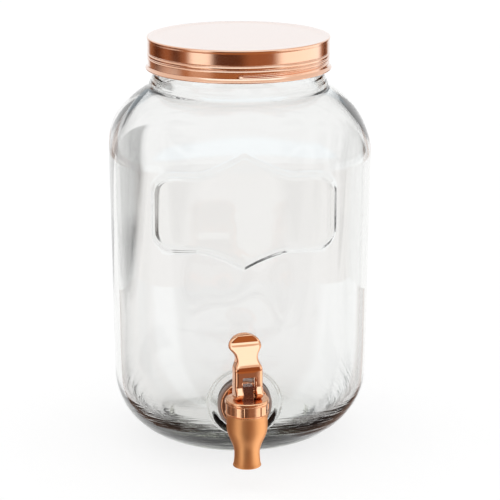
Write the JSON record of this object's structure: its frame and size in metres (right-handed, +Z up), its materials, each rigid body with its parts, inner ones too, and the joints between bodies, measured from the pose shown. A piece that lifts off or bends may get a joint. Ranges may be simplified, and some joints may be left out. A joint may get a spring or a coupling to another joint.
{
  "type": "detergent dispenser jar",
  "caption": "Clear glass dispenser jar of rounded-square section with a copper screw lid and a lever tap, for pouring liquid detergent.",
  "frame": {"origin": "centre of the foot ring, on the plane the jar stands on, on the jar's axis", "axes": "+Z up along the jar's axis, -Y out of the front, where the tap is, +X to the right seen from the front"},
  "size_m": [0.21, 0.2646, 0.3305],
  "materials": {
    "clear_glass": "clear pressed glass, fire polished",
    "polished_copper": "mirror copper plating",
    "satin_copper": "satin copper plating, brushed round the barrel",
    "lid_copper": "copper-plated sheet steel, polished",
    "grey_silicone": "smooth translucent grey silicone",
    "black_rubber": "smooth",
    "steel": "bright stainless steel"
  },
  "bodies": {
    "jar": {"glass_jar": "clear_glass", "tap_body": "satin_copper", "outer_washer": "grey_silicone", "inner_washer": "grey_silicone", "clamp_washer": "steel", "shank_nut": "steel", "tap_cap": "polished_copper", "cap_gasket": "grey_silicone", "stem_oring": "black_rubber", "gland_washer": "steel", "return_spring": "steel"},
    "lid_seal": {"lid_seal": "grey_silicone"},
    "lid": {"lid_shell": "lid_copper"},
    "valve": {"seat_cup": "black_rubber"},
    "stem": {"valve_stem": "polished_copper"},
    "lever": {"tap_lever": "polished_copper", "pivot_pin": "polished_copper"}
  },
  "joints": [
    {"name": "lid_lift", "type": "slide", "parent": "jar", "child": "lid_seal", "axis": [0, 0, 1], "range_m": [0, 0.0361]},
    {"name": "lid_turn", "type": "hinge", "parent": "lid_seal", "child": "lid", "pos_m": [0, 0, 0.31], "axis": [0, 0, 1], "range_deg": [0, 2160]},
    {"name": "valve_lift", "type": "slide", "parent": "jar", "child": "valve", "axis": [0, 0, 1], "range_m": [0, 0.0045], "stiffness_N_per_m": 800, "springref_m": -0.005, "deforming": ["return_spring"]},
    {"name": "handle_swivel", "type": "hinge", "parent": "valve", "child": "stem", "pos_m": [0, -0.143, 0.0778], "axis": [0, 0, 1], "range_deg": [-90, 90]},
    {"name": "lever_tilt", "type": "hinge", "parent": "stem", "child": "lever", "pos_m": [0, -0.143, 0.0778], "axis": [0.9703, 0.2419, 0], "range_deg": [0, 75.2]}
  ],
  "couplings": [
    {"joint": "lid_lift", "follows": "lid_turn", "m_per_rad": 0.00095493},
    {"joint": "lever_tilt", "follows": "valve_lift", "rad_per_m": 290.89}
  ]
}
